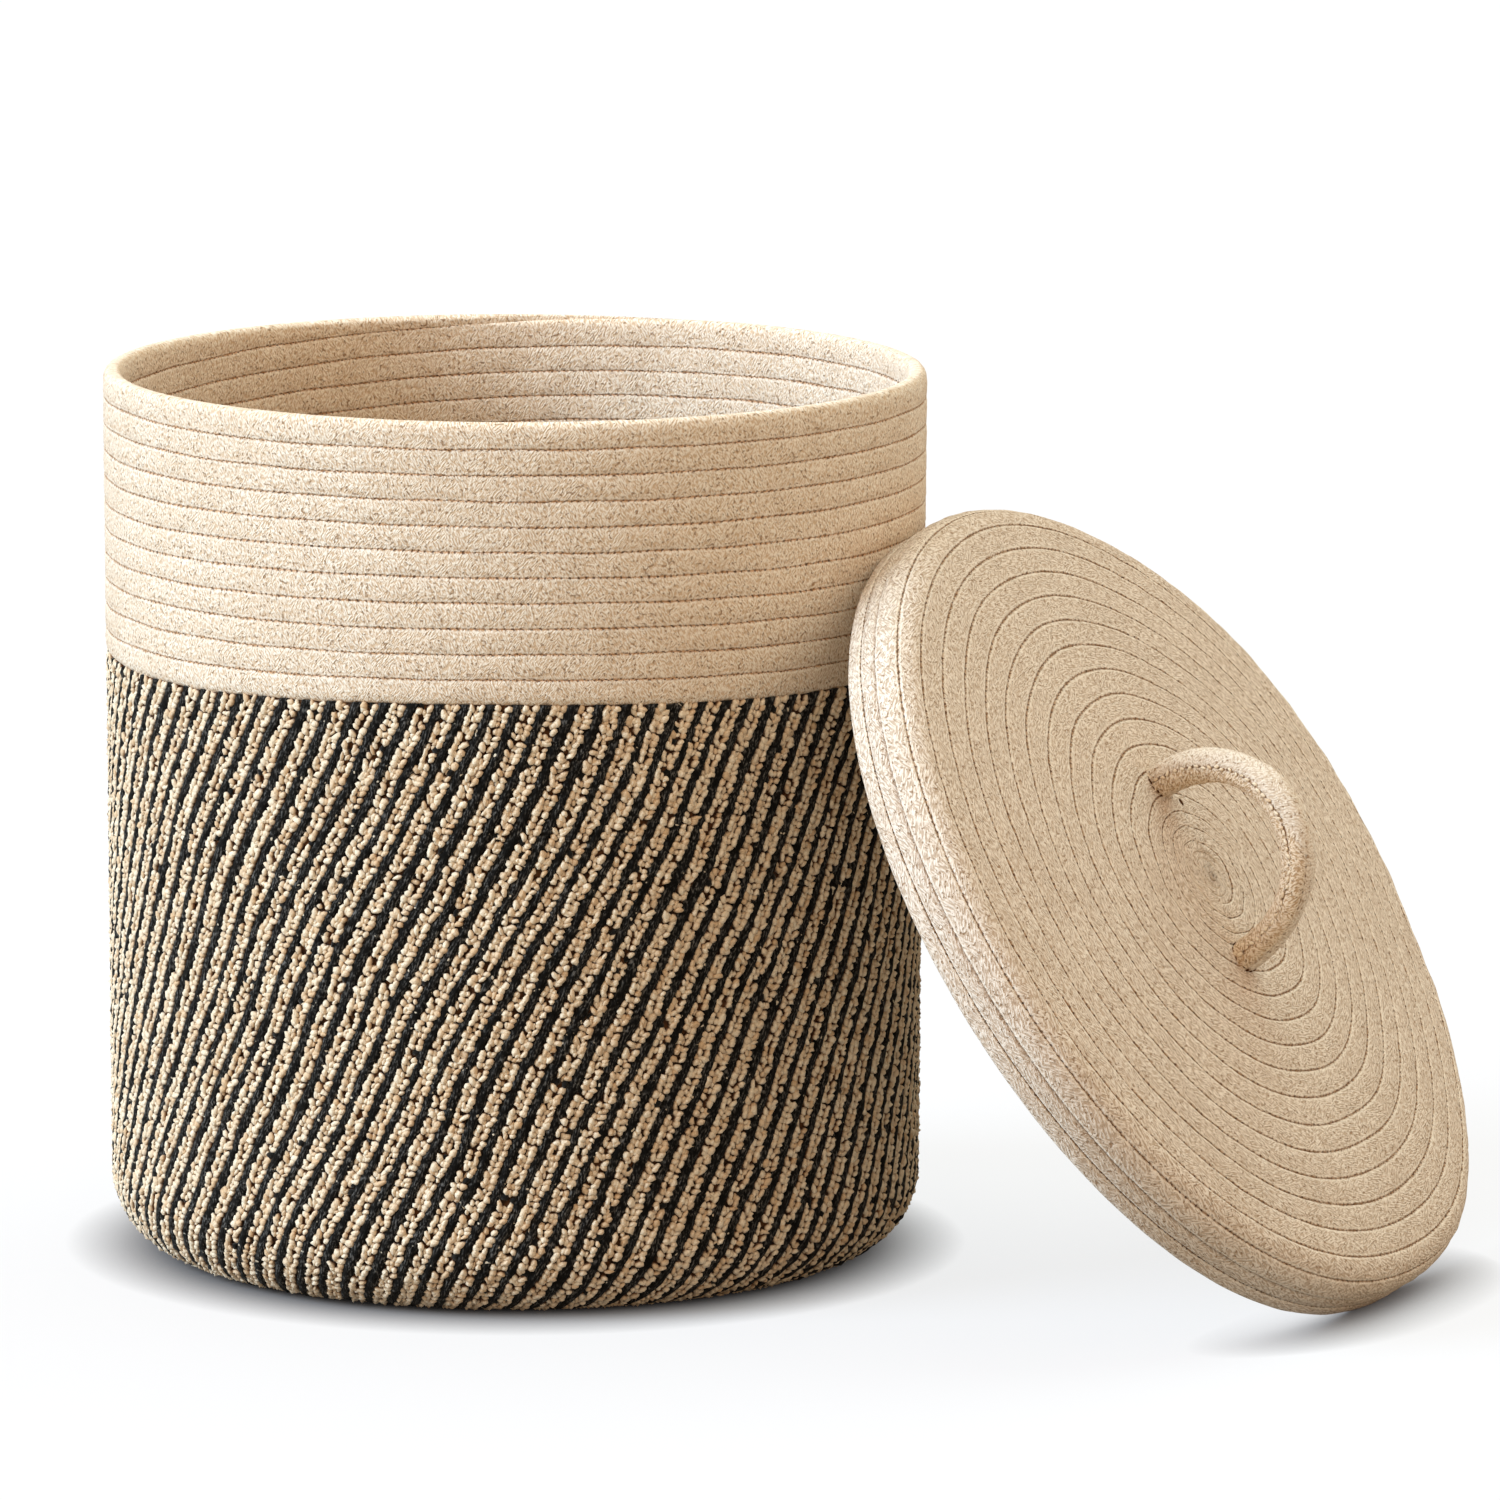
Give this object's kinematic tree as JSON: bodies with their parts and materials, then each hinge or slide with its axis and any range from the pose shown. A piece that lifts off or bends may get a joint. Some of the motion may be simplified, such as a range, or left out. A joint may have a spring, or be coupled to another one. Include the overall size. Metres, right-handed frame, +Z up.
{
  "type": "laundry basket",
  "caption": "Round lidded laundry basket of coiled cotton rope, plain above and striped below, with its looped lid leaning on its side.",
  "frame": {"origin": "middle of the basket's foot, on the floor", "axes": "+Z up; +X towards the lid, which leans on the basket's side with its outer face turned to +X and up; +Y completes the right-handed frame"},
  "size_m": [0.6541, 0.456, 0.4318],
  "materials": {
    "cream_cotton": "matt felted cotton rope",
    "lid_cotton": "matt felted cotton rope, a little greyer than the wall",
    "striped_cloth": "slanting ribs of knotted beige yarn over charcoal felt"
  },
  "bodies": {
    "basket": {"floor": "striped_cloth", "striped_wall": "striped_cloth", "plain_wall": "cream_cotton"},
    "lid": {"lid_top": "lid_cotton", "lid_band": "lid_cotton", "loop_handle": "lid_cotton"}
  },
  "joints": [
    {"name": "lid_lift_off", "type": "slide", "parent": "basket", "child": "lid", "axis": [0.8348, 0, 0.5505], "range_m": [0, 0.3]}
  ]
}
